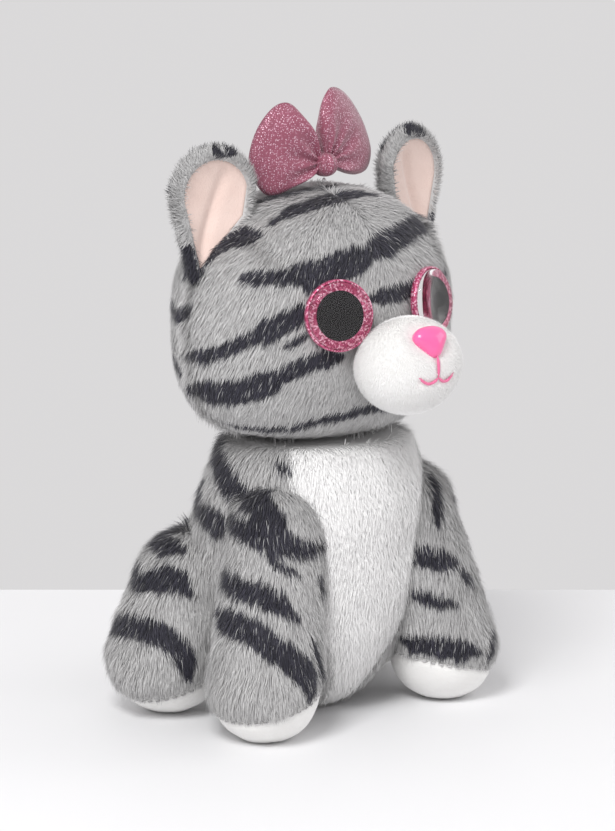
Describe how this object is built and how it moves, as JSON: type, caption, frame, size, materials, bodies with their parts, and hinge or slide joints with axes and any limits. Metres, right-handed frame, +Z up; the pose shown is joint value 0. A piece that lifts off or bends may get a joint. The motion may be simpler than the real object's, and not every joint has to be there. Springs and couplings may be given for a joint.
{
  "type": "plush cat",
  "caption": "Seated plush cat with a big head that nods and turns, soft ears, glitter eyes, a bow, a tail and four stub legs on flat white soles.",
  "frame": {"origin": "middle of the flat seat, on the surface that the cat sits on", "axes": "+Z up, -Y the way the cat faces, +X the cat's left"},
  "size_m": [0.147, 0.1485, 0.2406],
  "materials": {
    "grey_striped_plush": "grey long pile plush printed with dark stripes",
    "white_plush": "white long pile plush",
    "white_velour": "white short pile velour",
    "pink_velour": "pale pink short pile velour",
    "polyester_filling": "loose white polyester fibre",
    "plastic_pellets": "loose plastic pellets",
    "non_woven_pouch": "thin white non-woven cloth",
    "eye_plastic": "glossy",
    "pink_glitter": "pink glitter under clear plastic",
    "black_plastic": "glossy",
    "clear_dome": "clear glossy plastic",
    "washer_plastic": "matte",
    "pink_nose_plastic": "glossy hot pink",
    "pink_thread": "embroidery thread",
    "pink_sparkle_fabric": "pink fabric with small foil dots",
    "grey_thread": "sewing thread",
    "white_satin_label": "blank satin ribbon"
  },
  "bodies": {
    "torso": {"right_side_panel": "grey_striped_plush", "left_side_panel": "grey_striped_plush", "chest_bib": "white_plush", "seat_panel": "grey_striped_plush", "body_filling": "polyester_filling", "pellet_pouch": "non_woven_pouch", "pouch_pellets": "plastic_pellets", "neck_gather_thread": "grey_thread", "care_label": "white_satin_label", "closing_stitches": "grey_thread"},
    "neck": {"neck_filling": "polyester_filling"},
    "head": {"face_panel": "grey_striped_plush", "right_back_head_panel": "grey_striped_plush", "left_back_head_panel": "grey_striped_plush", "head_filling": "polyester_filling", "muzzle_cover": "white_velour", "muzzle_filling": "polyester_filling", "nose": "pink_nose_plastic", "nose_washer": "washer_plastic", "mouth_stitching": "pink_thread", "bow_thread": "grey_thread", "left_eye_back": "eye_plastic", "left_eye_iris": "pink_glitter", "left_eye_pupil": "black_plastic", "left_eye_lens": "clear_dome", "left_eye_washer": "washer_plastic", "right_eye_back": "eye_plastic", "right_eye_iris": "pink_glitter", "right_eye_pupil": "black_plastic", "right_eye_lens": "clear_dome", "right_eye_washer": "washer_plastic"},
    "bow": {"bow_knot": "pink_sparkle_fabric", "left_bow_wing": "pink_sparkle_fabric", "right_bow_wing": "pink_sparkle_fabric"},
    "tail": {"tail_cover": "grey_striped_plush", "tail_filling": "polyester_filling"},
    "left_ear": {"left_ear_lining": "pink_velour", "left_ear_padding": "polyester_filling", "left_ear_back": "grey_striped_plush"},
    "right_ear": {"right_ear_lining": "pink_velour", "right_ear_padding": "polyester_filling", "right_ear_back": "grey_striped_plush"},
    "left_front_leg": {"left_front_leg_cover": "grey_striped_plush", "left_front_leg_sole": "white_velour", "left_front_leg_beans": "plastic_pellets", "left_front_leg_filling": "polyester_filling"},
    "left_hind_leg": {"left_hind_leg_cover": "grey_striped_plush", "left_hind_leg_sole": "white_velour", "left_hind_leg_beans": "plastic_pellets", "left_hind_leg_filling": "polyester_filling"},
    "right_front_leg": {"right_front_leg_cover": "grey_striped_plush", "right_front_leg_sole": "white_velour", "right_front_leg_beans": "plastic_pellets", "right_front_leg_filling": "polyester_filling"},
    "right_hind_leg": {"right_hind_leg_cover": "grey_striped_plush", "right_hind_leg_sole": "white_velour", "right_hind_leg_beans": "plastic_pellets", "right_hind_leg_filling": "polyester_filling"}
  },
  "joints": [
    {"name": "head_turn", "type": "hinge", "parent": "torso", "child": "neck", "pos_m": [0, 0.002, 0.097], "axis": [0, 0, 1], "range_deg": [-25, 25], "stiffness_Nm_per_rad": 1},
    {"name": "head_nod", "type": "hinge", "parent": "neck", "child": "head", "pos_m": [0, 0.002, 0.097], "axis": [1, 0, 0], "range_deg": [-8, 10], "stiffness_Nm_per_rad": 2},
    {"name": "bow_tilt", "type": "hinge", "parent": "head", "child": "bow", "pos_m": [0, -0.007, 0.2065], "axis": [0, 1, 0], "range_deg": [-6, 6], "stiffness_Nm_per_rad": 0.05},
    {"name": "tail_swing", "type": "hinge", "parent": "torso", "child": "tail", "pos_m": [0, 0.038, 0.03], "axis": [0, 0, 1], "range_deg": [-15, 15], "stiffness_Nm_per_rad": 0.1},
    {"name": "left_ear_fold", "type": "hinge", "parent": "head", "child": "left_ear", "pos_m": [0.04703, -0.00135, 0.1855], "axis": [0.682, 0.1203, -0.7214], "range_deg": [-15, 15], "stiffness_Nm_per_rad": 0.05},
    {"name": "right_ear_fold", "type": "hinge", "parent": "head", "child": "right_ear", "pos_m": [-0.04703, -0.00135, 0.1855], "axis": [0.682, -0.1203, 0.7214], "range_deg": [-15, 15], "stiffness_Nm_per_rad": 0.05},
    {"name": "left_front_leg_swing", "type": "hinge", "parent": "torso", "child": "left_front_leg", "pos_m": [0.032, -0.018, 0.077], "axis": [1, 0, 0], "range_deg": [-15, 5], "stiffness_Nm_per_rad": 2},
    {"name": "left_hind_leg_swing", "type": "hinge", "parent": "torso", "child": "left_hind_leg", "pos_m": [0.038, 0.027, 0.048], "axis": [1, 0, 0], "range_deg": [-5, 12], "stiffness_Nm_per_rad": 2},
    {"name": "right_front_leg_swing", "type": "hinge", "parent": "torso", "child": "right_front_leg", "pos_m": [-0.032, -0.018, 0.077], "axis": [1, 0, 0], "range_deg": [-15, 5], "stiffness_Nm_per_rad": 2},
    {"name": "right_hind_leg_swing", "type": "hinge", "parent": "torso", "child": "right_hind_leg", "pos_m": [-0.038, 0.027, 0.048], "axis": [1, 0, 0], "range_deg": [-5, 12], "stiffness_Nm_per_rad": 2}
  ]
}
